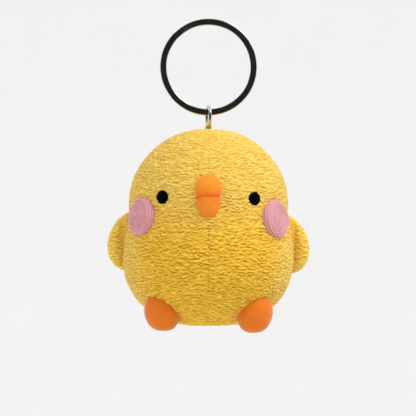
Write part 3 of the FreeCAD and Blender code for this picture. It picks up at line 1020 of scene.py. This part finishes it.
class KEYCHAIN_OT_hanger(Operator):
    """Tape over the jump ring's wire"""

    bl_idname = "keychain.hanger"
    bl_label = "Hang loop"

    def execute(self, context):
        tape = cord_material("Loop tape", context.scene.pile_fabric.top)
        low, high = box_mm("hang_loop")
        along = joint_place("chick_swing")
        axis = joint_axis("chick_swing")
        outward = np.cross(axis, [0, 0, 1.0])
        reach = high[2] - along[2] - TAPE_THICKNESS / 2
        bottom = along[2] - low[2]
        turn = np.radians(np.linspace(-60, 240, 60))
        flat = np.concatenate([[0.2, 0.2], reach * np.cos(turn), [-0.2, -0.2]])
        legs = np.array([-bottom, -bottom / 2.2])
        height = along[2] + np.concatenate([legs, reach * np.sin(turn), legs[::-1]])
        path = resampled(np.stack([0 * flat, 0 * flat, height], -1) + flat[:, None] * outward, 72)
        piece = ribbon("hang_loop_tape", path, axis, TAPE_WIDTH, TAPE_THICKNESS, ribs=0.12)
        dress(piece, tape)
        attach(piece, "chick")
        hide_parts("hang_loop")
        return {"FINISHED"}


class KEYCHAIN_OT_stitches(Operator):
    """Wound thread that shuts the hang loop and the hole the stuffing went in by"""

    bl_idname = "keychain.stitches"
    bl_label = "Stitches"

    def execute(self, context):
        thread = cord_material("Sewing thread", context.scene.pile_fabric.top)
        axis = joint_axis("chick_swing")
        tack = (axis, np.cross([0, 0, 1.0], axis), np.array([0, 0, 1.0]))
        middle, half = middle_and_half("loop_bar_tack")
        half = np.array([0.93, 0.19, half[2] - 0.05])
        pads = {"loop_bar_tack": thread_pad("bar_tack_thread", middle, tack, half, TACK_TURNS)}
        middle, half = middle_and_half("closing_stitches")
        pads["closing_stitches"] = thread_pad("closing_thread", middle, np.eye(3), half, CLOSING_TURNS)
        for node, piece in pads.items():
            dress(piece, thread)
            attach(piece, "chick")
            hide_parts(node)
        return {"FINISHED"}


class KEYCHAIN_OT_stage(Operator):
    """Pale floor that curves up all round, soft lights and the camera"""

    bl_idname = "keychain.stage"
    bl_label = "Stage"

    def execute(self, context):
        light = context.scene.studio_light
        floor = studio_floor()
        card = dark_card()
        world = bpy.data.worlds.new("Studio")
        world.use_nodes = True
        world.node_tree.nodes["Background"].inputs["Color"].default_value = (1.0, 1.0, 1.0, 1.0)
        world.node_tree.nodes["Background"].inputs["Strength"].default_value = light.sky
        context.scene.world = world
        middle = Vector(VIEW_CENTRE) * MM
        soft_light("Key", middle, (0.36, -0.22, 0.50), 0.30, light.key, (1.0, 0.99, 0.97))
        soft_light("Fill", middle, (-0.34, -0.32, -0.28), 0.5, light.fill, (0.97, 0.98, 1.0))
        camera = bpy.data.objects.new("Camera", bpy.data.cameras.new("Camera"))
        context.scene.collection.objects.link(camera)
        camera.location = middle - Vector((0, light.distance, 0))
        camera.rotation_euler = (math.pi / 2, 0, 0)
        camera.data.lens = camera.data.sensor_width * light.distance / light.view_width
        context.scene.camera = camera
        context.scene.view_settings.view_transform = "Standard"
        return {"FINISHED"}


def studio_floor():
    """Round floor whose edge curves up into a wall: radius and height along a quarter circle, spun round."""
    reach, curve, wall, drop = 1.2, 0.9, 0.8, 0.62
    turn = np.linspace(0, math.pi / 2, 24)
    radius = np.concatenate([[0.001, reach], reach + curve * np.sin(turn[1:]), [reach + curve]])
    height = np.concatenate([[0, 0], curve * (1 - np.cos(turn[1:])), [curve + wall]]) - drop
    angle = np.linspace(0, 2 * math.pi, 96, endpoint=False)
    rings = np.stack([np.outer(radius, np.cos(angle)), np.outer(radius, np.sin(angle))], -1)
    rings = np.concatenate([rings, np.broadcast_to(height[:, None, None], rings.shape[:2] + (1,))], -1)
    floor = new_piece("studio_floor", rings.reshape(-1, 3) / MM, grid_quads(len(radius), 96, True))
    made = Shader("Pale floor")
    speck = made.add("ShaderNodeTexNoise", {"Scale": 30.0, "Detail": 3.0})
    tint = made.add("ShaderNodeMapRange", {"Value": speck.outputs["Fac"], "To Min": 0.915, "To Max": 0.935})
    made.set(Base_Color=tint.outputs["Result"], Roughness=0.9)
    floor.data.materials.append(made.material)
    return floor


def dark_card():
    """Dark board behind the camera that only mirrors see, so that flat polished faces read as dark."""
    corners = np.array([[-1.0, -0.35, -0.45], [1.0, -0.35, -0.45], [1.0, -0.35, 0.8], [-1.0, -0.35, 0.8]])
    card = new_piece("dark_card", corners / MM, [[0, 1, 2, 3]])
    made = Shader("Dark board")
    made.set(Base_Color=(0.012, 0.010, 0.008, 1.0), Roughness=1.0)
    card.data.materials.append(made.material)
    card.visible_camera = False
    card.visible_diffuse = False
    card.visible_transmission = False
    card.visible_shadow = False
    return card


def soft_light(name, target, offset, size, power, colour):
    """Square area light at an offset from the target, turned to face it."""
    data = bpy.data.lights.new(name, "AREA")
    data.size = size
    data.energy = power
    data.color = colour
    lamp = bpy.data.objects.new(name, data)
    bpy.context.scene.collection.objects.link(lamp)
    lamp.location = target + Vector(offset)
    lamp.rotation_euler = (-Vector(offset)).to_track_quat("-Z", "Y").to_euler()


class KEYCHAIN_PT_panel(Panel):
    """Lists the settings and the pieces"""

    bl_label = "Plush Chick"
    bl_idname = "KEYCHAIN_PT_panel"
    bl_space_type = "VIEW_3D"
    bl_region_type = "UI"
    bl_category = "Plush Chick"

    def draw(self, context):
        for name in SETTINGS:
            group = getattr(context.scene, name)
            for key in group.__annotations__:
                self.layout.prop(group, key)
        for operator in OPERATORS:
            self.layout.operator(operator.bl_idname)


SETTINGS = {
    "chick_shape": ChickShape,
    "pile_fabric": PileFabric,
    "trim_colours": TrimColours,
    "studio_light": StudioLight,
}
OPERATORS = [
    KEYCHAIN_OT_stage,
    KEYCHAIN_OT_rings,
    KEYCHAIN_OT_body,
    KEYCHAIN_OT_wings,
    KEYCHAIN_OT_feet,
    KEYCHAIN_OT_beak,
    KEYCHAIN_OT_eyes,
    KEYCHAIN_OT_cheeks,
    KEYCHAIN_OT_hanger,
    KEYCHAIN_OT_stitches,
]
CLASSES = [*SETTINGS.values(), *OPERATORS, KEYCHAIN_PT_panel]


def register():
    for cls in CLASSES:
        bpy.utils.register_class(cls)
    for name, cls in SETTINGS.items():
        setattr(bpy.types.Scene, name, PointerProperty(type=cls))


def unregister():
    for name in SETTINGS:
        delattr(bpy.types.Scene, name)
    for cls in reversed(CLASSES):
        bpy.utils.unregister_class(cls)


def main():
    register()
    bpy.ops.keychain.stage()
    bpy.ops.keychain.rings()
    bpy.ops.keychain.body()
    bpy.ops.keychain.wings()
    bpy.ops.keychain.feet()
    bpy.ops.keychain.beak()
    bpy.ops.keychain.eyes()
    bpy.ops.keychain.cheeks()
    bpy.ops.keychain.hanger()
    bpy.ops.keychain.stitches()


if __name__ == "__main__":
    main()
